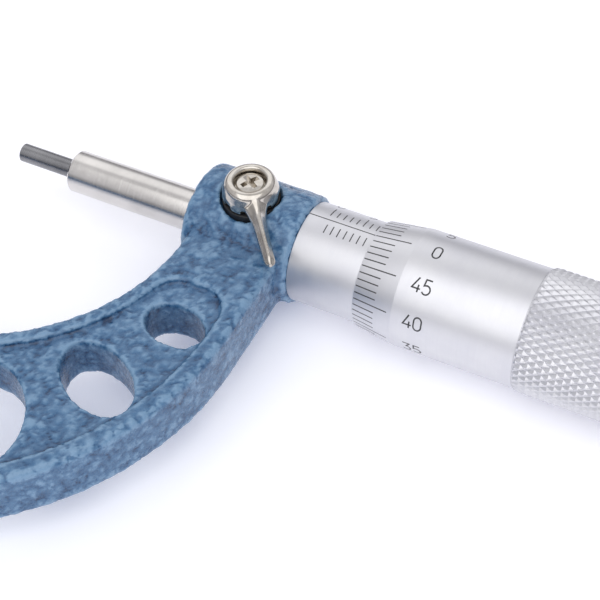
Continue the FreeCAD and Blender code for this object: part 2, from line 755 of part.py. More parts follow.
NODES = {
    "frame": frame,
    "anvil": anvil,
    "anvil_pin": anvil_pin,
    "inner_sleeve": inner_sleeve,
    "graduated_sleeve": graduated_sleeve,
    "adjusting_nut": adjusting_nut,
    "spindle": spindle,
    "spindle_pin": spindle_pin,
    "thimble": thimble,
    "ratchet_shaft": ratchet_shaft,
    "fixed_ratchet_wheel": fixed_ratchet_wheel,
    "moving_ratchet_wheel": moving_ratchet_wheel,
    "ratchet_spring": ratchet_spring,
    "ratchet_knob": ratchet_knob,
    "ratchet_washer": ratchet_washer,
    "ratchet_screw": ratchet_screw,
    "lock_seat": lock_seat,
    "lock_pad": lock_pad,
    "clamp_screw": clamp_screw,
    "lock_lever": lock_lever,
    "lever_screw": lever_screw,
}

os.makedirs("parts", exist_ok=True)
for name, make in NODES.items():
    save(make(), name)
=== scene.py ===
import bpy
import bmesh
import math
import numpy as np
from mathutils import Matrix, Vector, noise


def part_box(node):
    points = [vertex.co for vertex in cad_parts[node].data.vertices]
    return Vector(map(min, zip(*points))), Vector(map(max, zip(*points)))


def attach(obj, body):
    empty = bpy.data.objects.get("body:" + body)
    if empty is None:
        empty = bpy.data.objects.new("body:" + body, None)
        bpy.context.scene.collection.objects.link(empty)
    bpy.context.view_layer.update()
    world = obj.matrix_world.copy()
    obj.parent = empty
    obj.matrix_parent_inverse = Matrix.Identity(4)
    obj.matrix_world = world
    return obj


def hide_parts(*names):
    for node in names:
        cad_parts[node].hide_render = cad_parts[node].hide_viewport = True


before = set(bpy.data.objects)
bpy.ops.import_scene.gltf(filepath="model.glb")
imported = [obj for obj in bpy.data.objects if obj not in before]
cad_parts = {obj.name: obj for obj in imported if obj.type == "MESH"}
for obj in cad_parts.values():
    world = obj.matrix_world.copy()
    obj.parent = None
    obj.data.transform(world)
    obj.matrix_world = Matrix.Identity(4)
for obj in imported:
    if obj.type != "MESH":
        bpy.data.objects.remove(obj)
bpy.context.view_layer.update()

# Outside micrometer lying flat. Everything is in the frame's coordinates; lengths below are in
# millimetres and become metres through MM. +X runs along the spindle, the bow is towards -Y.
MM = 0.001
ROUND = 192  # sides of the large turned pieces
SMALL_ROUND = 96
CREASE = math.radians(32)
TINY = 1e-6
RELAX_IN = 0.55  # share of the way towards the neighbours, then back out, in one smoothing round
RELAX_OUT = -0.30


# Places and sizes read from the frame, in millimetres

def low(node):
    return [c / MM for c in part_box(node)[0]]


def high(node):
    return [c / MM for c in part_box(node)[1]]


SLEEVE_X0 = low("graduated_sleeve")[0]
SLEEVE_X1 = high("graduated_sleeve")[0]
SLEEVE_R = high("graduated_sleeve")[2]
LIP_X = low("thimble")[0]
THIMBLE_X1 = high("thimble")[0]
KNURL_R = high("thimble")[2]
KNOB_X0 = low("ratchet_knob")[0]
KNOB_X1 = high("ratchet_knob")[0]
KNOB_R = high("ratchet_knob")[2]
OPENING = low("spindle_pin")[0]
PIN_R = high("spindle_pin")[2]
SPINDLE_STEP = low("spindle")[0]
SPINDLE_R = high("anvil")[2]
ANVIL_STEP = high("anvil")[0]
SEAT_Z0 = low("lock_seat")[2]
SEAT_Z1 = high("lock_seat")[2]
SEAT_R = (high("lock_seat")[0] - low("lock_seat")[0]) / 2
LOCK_X = (high("lock_seat")[0] + low("lock_seat")[0]) / 2
LEVER_TOP = high("lock_lever")[2]
SCREW_TOP = high("lever_screw")[2]
FLOOR_Z = -KNURL_R

# Scales
ZERO_X = LIP_X - OPENING
INDEX_ANGLE = -4.0  # degrees from the top, positive towards the bow
DIVISIONS = 50
RANGE = 25
LINE = 0.15  # width of an engraved line
THIMBLE_LEAD = 2.6  # degrees by which the thimble's lines stand past the index line
INK_RISE = 0.006
INK_DEPTH = 0.03
SLEEVE_NEAR = 7.0  # degrees from the index line to the near end of a millimetre line
SLEEVE_LONG = 23.8  # and to the far end of a fifth line, and of a plain one
SLEEVE_SHORT = 18.1
SLEEVE_FIGURES = 40.0
SLEEVE_DIGIT = 1.7  # height of a numeral
HALF_NEAR = 7.4  # the ends of a half-millimetre line, on the index line's other side
HALF_FAR = 18.7
THIMBLE_LONG = 5.4  # millimetres from the lip
THIMBLE_SHORT = 3.4
THIMBLE_NEAR = 0.12
THIMBLE_FIGURES = 9.3
THIMBLE_DIGIT = 2.05
DIGIT_HALF = 0.31  # half the width of a numeral's unit box

# Thimble
LIP_WALL = 0.3
LIP_GAP = 0.09
BEVEL_LENGTH = 6.1
BARREL_R = 8.57
GRIP_START = 24.0
GRIP_LENGTH = 16.5
TAIL_R = 7.2
TAIL_CONE = 2.0
HUB_START = 35.3
HUB_BORE = 3.8
TAIL_BORE = 3.3
GRIP_DEPTH = 0.33  # of the knurl's deep grooves
GRIP_STARTS = 48
GRIP_CORE = BARREL_R - 0.07
GRIP_CHAMFER = 0.3
GRIP_SEAT = 0.06  # step under the knurl

# Ratchet knob
KNOB_BORE = 4.7
KNOB_RECESS = 1.9
KNOB_RECESS_R = 3.6
KNOB_BACK = 2.6
KNOB_HOLE = 2.35
KNOB_UNDER = 0.3  # the plain core below the knurl's crests
KNOB_CONE = 0.8
KNOB_CONE_DROP = 0.7
KNOB_LIP = 0.9  # plain ends of the knob before and behind its knurl
KNOB_TAIL = 1.6
KNOB_DEPTH = 0.26
KNOB_STARTS = 32
KNOB_CORE = KNOB_R - 0.4
KNOB_CHAMFER = 0.25

# Knurls
HELIX = math.radians(30)
SADDLE = 0.62  # depth of the shallow grooves, as a share of the deep ones'
KNURL_CREASE = math.radians(14)


# Mesh helpers

def add_mesh(name, verts, faces):
    """A new mesh object from points in millimetres."""
    mesh = bpy.data.meshes.new(name)
    mesh.from_pydata([tuple(c * MM for c in v) for v in verts], [], faces)
    mesh.validate()
    piece = bpy.data.objects.new(name, mesh)
    bpy.context.scene.collection.objects.link(piece)
    return piece


def mend(piece):
    """Points the faces of a closed mesh outwards."""
    bm = bmesh.new()
    bm.from_mesh(piece.data)
    bmesh.ops.recalc_face_normals(bm, faces=bm.faces)
    bm.to_mesh(piece.data)
    bm.free()


def soften(piece, crease=CREASE):
    """Smooth shading with sharp edges kept where faces meet at more than crease."""
    bm = bmesh.new()
    bm.from_mesh(piece.data)
    for face in bm.faces:
        face.smooth = True
    for edge in bm.edges:
        if len(edge.link_faces) == 2:
            edge.smooth = edge.calc_face_angle(0.0) < crease
    bm.to_mesh(piece.data)
    bm.free()


def fit_out(piece, body, material, nodes=()):
    """Puts a finished piece on its body, material and the nodes it stands for."""
    piece.data.materials.clear()
    piece.data.materials.append(material)
    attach(piece, body)
    if nodes:
        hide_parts(*nodes)
    return piece


def rounded(outline, radius, steps=4):
    """A closed outline with each corner replaced by a small arc of about that radius."""
    smooth = []
    count = len(outline)
    for i in range(count):
        corner = Vector(outline[i])
        before = Vector(outline[i - 1]) - corner
        after = Vector(outline[(i + 1) % count]) - corner
        if before.length < TINY or after.length < TINY or corner.y < TINY:
            smooth.append(tuple(corner))
            continue
        reach = min(radius, 0.45 * before.length, 0.45 * after.length)
        start = corner + before.normalized() * reach
        end = corner + after.normalized() * reach
        for k in range(steps + 1):
            t = k / steps
            smooth.append(tuple((1 - t) ** 2 * start + 2 * t * (1 - t) * corner + t * t * end))
    return smooth


def turned(name, outline, sides=ROUND, radius=0.0, axis="X", centre=(0, 0)):
    """A solid turned from a closed outline of (along, radius) about X or a vertical line."""
    if radius:
        outline = rounded(outline, radius)
    verts, rings = [], []
    for along, r in outline:
        if r < TINY:
            rings.append([len(verts)] * sides)
            verts.append((along, 0.0, 0.0))
            continue
        rings.append(list(range(len(verts), len(verts) + sides)))
        for k in range(sides):
            a = 2 * math.pi * k / sides
            verts.append((along, r * math.cos(a), r * math.sin(a)))
    if axis == "Z":
        verts = [(centre[0] + y, centre[1] + z, x) for x, y, z in verts]
    faces = []
    count = len(rings)
    for i in range(count):
        here, there = rings[i], rings[(i + 1) % count]
        for k in range(sides):
            quad = [here[k], there[k], there[(k + 1) % sides], here[(k + 1) % sides]]
            quad = list(dict.fromkeys(quad))
            if len(quad) > 2:
                faces.append(quad)
    piece = add_mesh(name, verts, faces)
    mend(piece)
    return piece


def joined(name, pieces):
    """Several mesh objects made into one."""
    bm = bmesh.new()
    for piece in pieces:
        bm.from_mesh(piece.data)
        mesh = piece.data
        bpy.data.objects.remove(piece)
        bpy.data.meshes.remove(mesh)
    mesh = bpy.data.meshes.new(name)
    bm.to_mesh(mesh)
    bm.free()
    piece = bpy.data.objects.new(name, mesh)
    bpy.context.scene.collection.objects.link(piece)
    return piece


def cut_with(piece, cutter):
    """Takes a closed cutter away from a piece and removes the cutter."""
    step = piece.modifiers.new("cut", "BOOLEAN")
    step.operation = "DIFFERENCE"
    step.solver = "EXACT"
    step.object = cutter
    bake(piece)
    mesh = cutter.data
    bpy.data.objects.remove(cutter)
    bpy.data.meshes.remove(mesh)


def bake(piece):
    """Applies a piece's modifiers to its mesh."""
    view = bpy.context.evaluated_depsgraph_get()
    done = bpy.data.meshes.new_from_object(piece.evaluated_get(view))
    piece.modifiers.clear()
    piece.data = done


def remesh(piece, voxel):
    """Fuses a piece's shells into one skin of small even faces, voxel millimetres across."""
    step = piece.modifiers.new("remesh", "REMESH")
    step.mode = "VOXEL"
    step.voxel_size = voxel * MM
    bake(piece)


def read_points(mesh):
    """The vertices in millimetres, a row each."""
    points = np.empty(len(mesh.vertices) * 3)
    mesh.vertices.foreach_get("co", points)
    return points.reshape(-1, 3) / MM


def write_points(mesh, points):
    mesh.vertices.foreach_set("co", (points * MM).ravel())
    mesh.update()


def read_normals(mesh):
    normals = np.empty(len(mesh.vertices) * 3)
    mesh.vertices.foreach_get("normal", normals)
    return normals.reshape(-1, 3)


def read_edges(mesh):
    edges = np.empty(len(mesh.edges) * 2, dtype=np.int64)
    mesh.edges.foreach_get("vertices", edges)
    return edges.reshape(-1, 2)


def neighbours_mean(points, edges):
    """The middle of each point's neighbours along the mesh's edges."""
    count = np.bincount(edges.ravel(), minlength=len(points)).astype(float)
    total = np.zeros_like(points)
    np.add.at(total, edges[:, 0], points[edges[:, 1]])
    np.add.at(total, edges[:, 1], points[edges[:, 0]])
    return total / count[:, None]


def relaxed(points, edges, rounds):
    """Evens out a dense mesh so that its edges become cast roundings, without shrinking it."""
    for _ in range(rounds):
        for share in (RELAX_IN, RELAX_OUT):
            points = points + share * (neighbours_mean(points, edges) - points)
    return points


# Materials

def new_material(name, color, metallic, roughness):
    """A material with its node tree and shader, to build a procedural finish on."""
    material = bpy.data.materials.new(name)
    material.use_nodes = True
    shader = material.node_tree.nodes["Principled BSDF"]
    shader.inputs["Base Color"].default_value = (*color, 1)
    shader.inputs["Metallic"].default_value = metallic
    shader.inputs["Roughness"].default_value = roughness
    return material, material.node_tree, shader


def place(tree, scale):
    """The piece's own coordinates, stretched by scale, as a mapping node."""
    where = tree.nodes.new("ShaderNodeTexCoord")
    mapping = tree.nodes.new("ShaderNodeMapping")
    mapping.inputs["Scale"].default_value = scale
    tree.links.new(where.outputs["Object"], mapping.inputs["Vector"])
    return mapping


def grain(tree, scale, detail=3.0, roughness=0.6):
    """A noise texture on the piece's coordinates."""
    mapping = place(tree, scale)
    texture = tree.nodes.new("ShaderNodeTexNoise")
    texture.inputs["Scale"].default_value = 1.0
    texture.inputs["Detail"].default_value = detail
    texture.inputs["Roughness"].default_value = roughness
    tree.links.new(mapping.outputs["Vector"], texture.inputs["Vector"])
    return texture


def ramp(tree, source, stops):
    """A colour ramp over source, from (position, linear colour) stops."""
    node = tree.nodes.new("ShaderNodeValToRGB")
    node.color_ramp.elements[0].position = stops[0][0]
    node.color_ramp.elements[0].color = (*stops[0][1], 1)
    node.color_ramp.elements[1].position = stops[-1][0]
    node.color_ramp.elements[1].color = (*stops[-1][1], 1)
    for position, color in stops[1:-1]:
        element = node.color_ramp.elements.new(position)
        element.color = (*color, 1)
    tree.links.new(source, node.inputs["Fac"])
    return node


def spread(tree, source, low_value, high_value, start=0.3, end=0.7):
    """Maps a 0 to 1 pattern to a range of values."""
    node = tree.nodes.new("ShaderNodeMapRange")
    node.inputs["From Min"].default_value = start
    node.inputs["From Max"].default_value = end
    node.inputs["To Min"].default_value = low_value
    node.inputs["To Max"].default_value = high_value
    tree.links.new(source, node.inputs["Value"])
    return node


def bump(tree, shader, source, strength, distance):
    """Raises the surface by a 0 to 1 pattern, distance metres at its height."""
    node = tree.nodes.new("ShaderNodeBump")
    node.inputs["Strength"].default_value = strength
    node.inputs["Distance"].default_value = distance
    tree.links.new(source, node.inputs["Height"])
    tree.links.new(node.outputs["Normal"], shader.inputs["Normal"])


def metal(name, dark, light, roughness, spread_by, lines, depth):
    """Turned metal: fine rings about X, with cloudy changes of tone and gloss."""
    material, tree, shader = new_material(name, light, 1.0, roughness)
    rings = grain(tree, (lines, lines * 0.02, lines * 0.02), detail=2.0)
    cloud = grain(tree, (160, 160, 160), detail=4.0)
    tone = ramp(tree, cloud.outputs["Fac"], [(0.3, dark), (0.7, light)])
    tree.links.new(tone.outputs["Color"], shader.inputs["Base Color"])
    gloss = spread(tree, rings.outputs["Fac"], roughness - spread_by, roughness + spread_by)
    tree.links.new(gloss.outputs["Result"], shader.inputs["Roughness"])
    bump(tree, shader, rings.outputs["Fac"], 1.0, depth)
    return material


def satin_chrome():
    dark, light = (0.65, 0.65, 0.685), (0.71, 0.71, 0.73)
    return metal("satin_chrome", dark, light, 0.42, 0.05, 9000, 0.0000015)


def knurled_chrome():
    dark, light = (0.63, 0.63, 0.665), (0.70, 0.70, 0.72)
    return metal("knurled_chrome", dark, light, 0.45, 0.04, 5000, 0.0000004)


def ground_steel():
    dark, light = (0.58, 0.56, 0.54), (0.70, 0.675, 0.65)
    return metal("ground_steel", dark, light, 0.22, 0.06, 14000, 0.0000008)


def pin_steel():
    return metal("pin_steel", (0.19, 0.19, 0.20), (0.27, 0.27, 0.28), 0.28, 0.05, 12000, 0.0000006)


def plain_steel():
    return metal("plain_steel", (0.38, 0.38, 0.39), (0.50, 0.50, 0.51), 0.33, 0.06, 8000, 0.0000008)


def bright_chrome():
    """Plated die casting: bright, with slight waviness."""
    material, tree, shader = new_material("bright_chrome", (0.80, 0.78, 0.75), 1.0, 0.10)
    cloud = grain(tree, (500, 500, 500), detail=3.0)
    tone = ramp(tree, cloud.outputs["Fac"], [(0.3, (0.48, 0.44, 0.39)), (0.7, (0.68, 0.65, 0.60))])
    tree.links.new(tone.outputs["Color"], shader.inputs["Base Color"])
    gloss = spread(tree, cloud.outputs["Fac"], 0.10, 0.20)
    tree.links.new(gloss.outputs["Result"], shader.inputs["Roughness"])
    bump(tree, shader, cloud.outputs["Fac"], 1.0, 0.00002)
    return material


def black_plastic():
    material, tree, shader = new_material("black_seat", (0.007, 0.007, 0.009), 0.0, 0.5)
    cloud = grain(tree, (900, 900, 900), detail=3.0)
    gloss = spread(tree, cloud.outputs["Fac"], 0.45, 0.6)
    tree.links.new(gloss.outputs["Result"], shader.inputs["Roughness"])
    bump(tree, shader, cloud.outputs["Fac"], 0.4, 0.00001)
    return material


def brass():
    return metal("brass", (0.55, 0.40, 0.16), (0.72, 0.54, 0.25), 0.3, 0.05, 8000, 0.0000006)


def ink():
    """Black filling of the engraved lines and numerals, slightly uneven."""
    material, tree, shader = new_material("ink", (0.02, 0.02, 0.022), 0.0, 0.5)
    cloud = grain(tree, (1500, 1500, 1500), detail=2.0)
    stops = [(0.35, (0.012, 0.012, 0.014)), (0.7, (0.05, 0.05, 0.053))]
    tone = ramp(tree, cloud.outputs["Fac"], stops)
    tree.links.new(tone.outputs["Color"], shader.inputs["Base Color"])
    return material


def hammertone():
    """Blue hammertone paint: the lumps' height, stored on the mesh, tints the paint with painted shade
    in the creases and painted highlight on the lump tops and edges.
    """
    material, tree, shader = new_material("hammertone_paint", (0.09, 0.20, 0.37), 0.0, 0.3)
    height = tree.nodes.new("ShaderNodeAttribute")
    height.attribute_name = "lump"
    fine = grain(tree, (1900, 1900, 1900), detail=4.0, roughness=0.65)
    mix = tree.nodes.new("ShaderNodeMath")
    mix.operation = "MULTIPLY_ADD"
    mix.inputs[1].default_value = 0.18
    tree.links.new(fine.outputs["Fac"], mix.inputs[0])
    tree.links.new(height.outputs["Fac"], mix.inputs[2])
    # Painted shade in the creases, rising to a painted highlight on the lumps' tops.
    stops = [
        (0.26, (0.008, 0.033, 0.092)),
        (0.50, (0.030, 0.096, 0.208)),
        (0.76, (0.067, 0.160, 0.298)),
        (1.00, (0.165, 0.290, 0.445)),
    ]
    tone = ramp(tree, mix.outputs["Value"], stops)
    tree.links.new(tone.outputs["Color"], shader.inputs["Base Color"])
    gloss = spread(tree, fine.outputs["Fac"], 0.2, 0.36)
    tree.links.new(gloss.outputs["Result"], shader.inputs["Roughness"])
    shader.inputs["Coat Weight"].default_value = 0.08
    shader.inputs["Coat Roughness"].default_value = 0.12
    bump(tree, shader, fine.outputs["Fac"], 0.4, 0.00008)
    return material


CHROME = satin_chrome()
KNURLED = knurled_chrome()
GROUND = ground_steel()
PIN = pin_steel()
STEEL = plain_steel()
BRIGHT = bright_chrome()
BLACK = black_plastic()
BRASS = brass()
INK = ink()
PAINT = hammertone()


# Frame casting

VOXEL = 0.3
SMOOTHING = 8
LUMP = 0.42  # depth of the paint's texture
LUMP_SIZE = 1.5
LARGE_SHARE = 0.52  # of the texture's height: the large cells, the small cells and slow swells
SMALL_SHARE = 0.38
SWELL_SHARE = 0.10
EDGE_DEPTH = 0.25  # share of the texture's depth on the bow's edges, and on its bosses
BOSS_DEPTH = 0.6
BOSS_REACH = 1.4  # the bosses end this far outside the sleeve's radius
PAINT_COAT = 0.2  # thickness of the paint over the casting
FULL_HIGHLIGHT_BULGE = 0.02  # bulge over the neighbours at which the painted edge highlight is brightest
# share of the paint's colour given to the painted highlight on convex edges and the painted shade in
# hollows
EDGE_LIGHT_AND_SHADE_TINT = 0.3
BORE_ROOM = 0.12  # per side, round the spindle
ANVIL_ROOM = 0.02
ANVIL_END = 0.4  # the anvil's last stretch, left alone so that the boss's outer face stays whole
noise.seed_set(7)  # noise_vector's offset, so that each run makes the same lumps


def dome(p, power, crease):
    """Rounded cells: 1 at a cell's middle, lower by crease at the line between two cells."""
    near = noise.voronoi(p)[0]
    return 1.0 - crease * (near[0] / max(near[1], TINY)) ** power


def lump_height(p):
    """Height of the hammered paint at point p: 0 in a deep crease, 1 on a lump."""
    warp = noise.noise_vector(p * 0.8) * 0.6
    open_part = noise.noise(p * 0.55 + Vector((3.1, 8.2, 5.7)))
    fine_part = noise.noise(p * 0.7 + Vector((9.4, 2.6, 1.3)))
    large_crease = min(1.0, max(0.35, 0.75 + 0.9 * open_part))
    small_crease = min(1.0, max(0.3, 0.7 + fine_part))
    large = dome((p + warp) / LUMP_SIZE, 2.6, large_crease)
    small = dome((p + warp) / LUMP_SIZE * 2.0 + Vector((7.3, 1.9, 4.1)), 2.0, small_crease)
    swell = 0.5 + 0.5 * noise.noise(p * 0.4)
    return LARGE_SHARE * large + SMALL_SHARE * small + SWELL_SHARE * swell


def roughness_at(points, normals):
    """How deep the paint's texture is: full on the bow's faces, finer on its edges and bosses."""
    flat = np.clip((np.abs(normals[:, 2]) - 0.2) / 0.4, 0, 1)
    bow = EDGE_DEPTH + (1 - EDGE_DEPTH) * flat
    near_axis = np.hypot(points[:, 1], points[:, 2]) < SLEEVE_R + BOSS_REACH
    return np.where(near_axis, BOSS_DEPTH, bow)


def keep_clear(points, x_range, radius):
    """Moves points of a bore out to the radius that the bar inside needs."""
    r = np.hypot(points[:, 1], points[:, 2])
    inside = (points[:, 0] > x_range[0]) & (points[:, 0] < x_range[1]) & (r < radius) & (r > 1.0)
    scale = radius / r[inside]
    points[inside, 1] *= scale
    points[inside, 2] *= scale


def frame_casting():
    """The bow: the CAD casting with cast roundings, under a coat of hammered paint."""
    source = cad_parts["frame"]
    casting = bpy.data.objects.new("frame_casting", source.data.copy())
    bpy.context.scene.collection.objects.link(casting)
    remesh(casting, VOXEL)
    mesh = casting.data
    edges = read_edges(mesh)
    points = relaxed(read_points(mesh), edges, SMOOTHING)
    write_points(mesh, points)
    normals = read_normals(mesh)
    # Painted edge light: convex edges get a painted highlight and hollows a painted shade, by how far
    # each point bulges past its neighbours.
    curve = ((points - neighbours_mean(points, edges)) * normals).sum(axis=1)
    edge_highlight_and_shade = np.clip(curve / FULL_HIGHLIGHT_BULGE, -0.6, 1.0)
    heights = np.array([lump_height(Vector(p)) for p in points])
    depth = LUMP * roughness_at(points, normals)
    coat = PAINT_COAT * (0.4 + 0.6 * np.abs(normals[:, 2]))
    points = points + normals * (depth * (heights - 1.0) + coat)[:, None]
    corners = np.array([low("frame"), high("frame")])
    points = np.clip(points, corners[0] - (0, 0, PAINT_COAT), corners[1] + (0, 0, PAINT_COAT))
    keep_clear(points, (OPENING, high("frame")[0] + 1), SPINDLE_R + BORE_ROOM)
    keep_clear(points, (low("anvil")[0] + ANVIL_END, 0), SPINDLE_R + ANVIL_ROOM)
    write_points(mesh, points)
    # The paint's colour: lump height plus the edge term, giving painted shade in creases and hollows and
    # painted highlight on lump tops and convex edges.
    store = mesh.attributes.new("lump", "FLOAT", "POINT")
    store.data.foreach_set("value", (heights + EDGE_LIGHT_AND_SHADE_TINT * edge_highlight_and_shade).astype(np.float32))
    for face in mesh.polygons:
        face.use_smooth = True
    return fit_out(casting, "body", PAINT, ["frame"])


# Turned pieces of the measuring line

NOSE = 0.35  # chamfer of the spindle and the anvil where their pins stand out
PIN_CHAMFER = 0.08
SLEEVE_WALL = 0.8


def nosed_bar(name, node, body, nose_x, far_x):
    """A ground bar with a chamfered nose at nose_x, running to far_x."""
    nose_end = nose_x + math.copysign(NOSE, far_x - nose_x)
    outline = [(nose_x, 0), (nose_x, SPINDLE_R - NOSE), (nose_end, SPINDLE_R)]
    outline += [(far_x, SPINDLE_R), (far_x, 0)]
    piece = turned(name, outline, SMALL_ROUND, 0.04)
    soften(piece)
    return fit_out(piece, body, GROUND, [node])


def measuring_pin(name, node, body):
    x0, x1 = low(node)[0], high(node)[0]
    outline = [(x0, 0), (x0, PIN_R - PIN_CHAMFER), (x0 + PIN_CHAMFER, PIN_R)]
    outline += [(x1 - PIN_CHAMFER, PIN_R), (x1, PIN_R - PIN_CHAMFER), (x1, 0)]
    piece = turned(name, outline, SMALL_ROUND)
    soften(piece)
    return fit_out(piece, body, PIN, [node])


def sleeve_tube():
    inner = SLEEVE_R - SLEEVE_WALL
    outline = [(SLEEVE_X0, inner), (SLEEVE_X0, SLEEVE_R), (SLEEVE_X1, SLEEVE_R), (SLEEVE_X1, inner)]
    piece = turned("sleeve_tube", outline, ROUND, 0.1)
    soften(piece)
    return fit_out(piece, "body", CHROME, ["graduated_sleeve"])


def bevel_radius(x):
    """Radius of the thimble's outside between its lip and the knurl."""
    t = min(1.0, max(0.0, (x - LIP_X) / BEVEL_LENGTH))
    lip = SLEEVE_R + LIP_GAP + LIP_WALL
    return lip + t * (BARREL_R - lip)


def thimble_shell():
    bore = SLEEVE_R + LIP_GAP
    grip = LIP_X + GRIP_START
    grip_end = grip + GRIP_LENGTH
    under = BARREL_R - GRIP_SEAT
    hub = LIP_X + HUB_START
    outline = [
        (LIP_X, bore),
        (LIP_X, bevel_radius(LIP_X)),
        (LIP_X + BEVEL_LENGTH, BARREL_R),
        (grip - 0.1, BARREL_R),
        (grip - 0.1, under),
        (grip_end + 0.05, under),
        (grip_end + 0.05, BARREL_R - 0.02),
        (THIMBLE_X1 - TAIL_CONE, BARREL_R - 0.05),
        (THIMBLE_X1, TAIL_R),
        (THIMBLE_X1, TAIL_BORE),
        (hub, HUB_BORE),
        (hub, bore),
    ]
    piece = turned("thimble_shell", outline, ROUND, 0.03)
    soften(piece, math.radians(20))
    return fit_out(piece, "thimble", CHROME, ["thimble"])


def knurl(name, x0, x1, crest, depth, starts, core, chamfer, flat=0.2):
    """A sleeve of diamonds between a deep and a shallower family of helical grooves."""
    slope = math.tan(HELIX) / crest
    step_a = math.pi / starts
    step_x = math.pi / (starts * slope)
    valley = crest - depth
    saddle = crest - SADDLE * depth
    columns = 2 * starts
    rows = int((x1 - x0) / step_x) + 4
    verts, index = [], {}

    def lattice_point(a, b, r):
        key = (round(2 * a) % (2 * columns), round(2 * b))
        if key not in index:
            angle = a * step_a
            index[key] = len(verts)
            verts.append((x0 + (b - 1) * step_x, r * math.cos(angle), r * math.sin(angle)))
        return index[key]

    faces = []
    for b in range(1, rows):
        for a in range(columns):
            if (a + b) % 2 == 0:
                continue
            corners = [(a - 1, b), (a, b + 1), (a + 1, b), (a, b - 1)]
            left, up, right, down = [lattice_point(*c, valley) for c in corners]
            first = lattice_point(a - 0.5, b + 0.5, saddle)
            second = lattice_point(a + 0.5, b - 0.5, saddle)
            top = []
            for ca, cb in corners:
                angle = (a + flat * (ca - a)) * step_a
                x = x0 + (b - 1 + flat * (cb - b)) * step_x
                top.append(len(verts))
                verts.append((x, crest * math.cos(angle), crest * math.sin(angle)))
            faces.append((left, first, top[0]))
            faces.append((first, top[1], top[0]))
            faces.append((first, up, top[1]))
            faces.append((up, right, top[2], top[1]))
            faces.append((right, second, top[2]))
            faces.append((second, top[3], top[2]))
            faces.append((second, down, top[3]))
            faces.append((down, left, top[0], top[3]))
            faces.append(tuple(top))
    piece = add_mesh(name, verts, faces)
    trim_knurl(piece, x0, x1, chamfer, crest, core)
    soften(piece, KNURL_CREASE)
    return piece


def trim_knurl(piece, x0, x1, chamfer, crest, core):
    """Cuts a knurl to length, chamfers its ends and closes it down to its core radius."""
    bm = bmesh.new()
    bm.from_mesh(piece.data)
    for x, facing in ((x0, -1), (x1, 1)):
        whole = bm.verts[:] + bm.edges[:] + bm.faces[:]
        bmesh.ops.bisect_plane(
            bm, geom=whole, plane_co=(x * MM, 0, 0), plane_no=(facing, 0, 0), clear_outer=True
        )
    for x in (x0 + chamfer, x1 - chamfer):
        whole = bm.verts[:] + bm.edges[:] + bm.faces[:]
        bmesh.ops.bisect_plane(bm, geom=whole, plane_co=(x * MM, 0, 0), plane_no=(1, 0, 0))
    for v in bm.verts:
        x = v.co.x / MM
        reach = min(x - x0, x1 - x)
        limit = crest - max(0.0, chamfer - reach)
        r = math.hypot(v.co.y, v.co.z) / MM
        if r > limit:
            v.co.y *= limit / r
            v.co.z *= limit / r
    border = [e for e in bm.edges if len(e.link_faces) == 1]
    made = bmesh.ops.extrude_edge_only(bm, edges=border)["geom"]
    for v in (g for g in made if isinstance(g, bmesh.types.BMVert)):
        r = math.hypot(v.co.y, v.co.z) / MM
        v.co.y *= core / r
        v.co.z *= core / r
    inner = [e for e in bm.edges if len(e.link_faces) == 1]
    bmesh.ops.bridge_loops(bm, edges=inner)
    bmesh.ops.recalc_face_normals(bm, faces=bm.faces)
    bm.to_mesh(piece.data)
    bm.free()


def thimble_grip():
    x0 = LIP_X + GRIP_START
    x1 = x0 + GRIP_LENGTH
    piece = knurl("thimble_grip", x0, x1, KNURL_R, GRIP_DEPTH, GRIP_STARTS, GRIP_CORE, GRIP_CHAMFER)
    return fit_out(piece, "thimble", KNURLED)


def knob_grip():
    x0 = KNOB_X0 + KNOB_LIP
    x1 = KNOB_X1 - KNOB_TAIL
    piece = knurl("knob_grip", x0, x1, KNOB_R, KNOB_DEPTH, KNOB_STARTS, KNOB_CORE, KNOB_CHAMFER)
    return fit_out(piece, "ratchet", KNURLED)


def knob_shell():
    back = KNOB_X1 - KNOB_RECESS
    front = back - KNOB_BACK
    core = KNOB_R - KNOB_UNDER
    outline = [
        (KNOB_X0, KNOB_BORE),
        (KNOB_X0, core - 0.15),
        (KNOB_X0 + 0.15, core),
        (KNOB_X1 - 1.5, core),
        (KNOB_X1 - KNOB_CONE, core),
        (KNOB_X1, core - KNOB_CONE_DROP),
        (KNOB_X1, KNOB_RECESS_R),
        (back, KNOB_RECESS_R),
        (back, KNOB_HOLE),
        (front, KNOB_HOLE),
        (front, KNOB_BORE),
    ]
    piece = turned("knob_shell", outline, ROUND, 0.08)
    soften(piece)
    return fit_out(piece, "ratchet", CHROME, ["ratchet_knob"])


# Engraved scales

def at_angle(x, angle, r):
    """A point at radius r, at an angle in degrees from the top towards the bow."""
    a = math.radians(angle)
    return (x, -r * math.sin(a), r * math.cos(a))


def on_sleeve(x, angle, rise):
    return at_angle(x, angle, SLEEVE_R + rise)


def on_thimble(x, angle, rise):
    return at_angle(x, angle, bevel_radius(x) + rise)


def inlay(name, surface, left, right, closed=False):
    """A thin filling between two rows of (x, angle) points, sunk a little into its surface."""
    verts = []
    for x, angle in left + right:
        verts.append(surface(x, angle, INK_RISE))
    for x, angle in left + right:
        verts.append(surface(x, angle, -INK_DEPTH))
    n = len(left)
    deep = 2 * n
    faces = []
    spans = n if closed else n - 1
    for i in range(spans):
        j = (i + 1) % n
        faces.append((i, j, n + j, n + i))
        faces.append((deep + i, deep + n + i, deep + n + j, deep + j))
        faces.append((i, deep + i, deep + j, j))
        faces.append((n + i, n + j, deep + n + j, deep + n + i))
    if not closed:
        for i in (0, n - 1):
            faces.append((i, n + i, deep + n + i, deep + i))
    piece = add_mesh(name, verts, faces)
    mend(piece)
    return piece


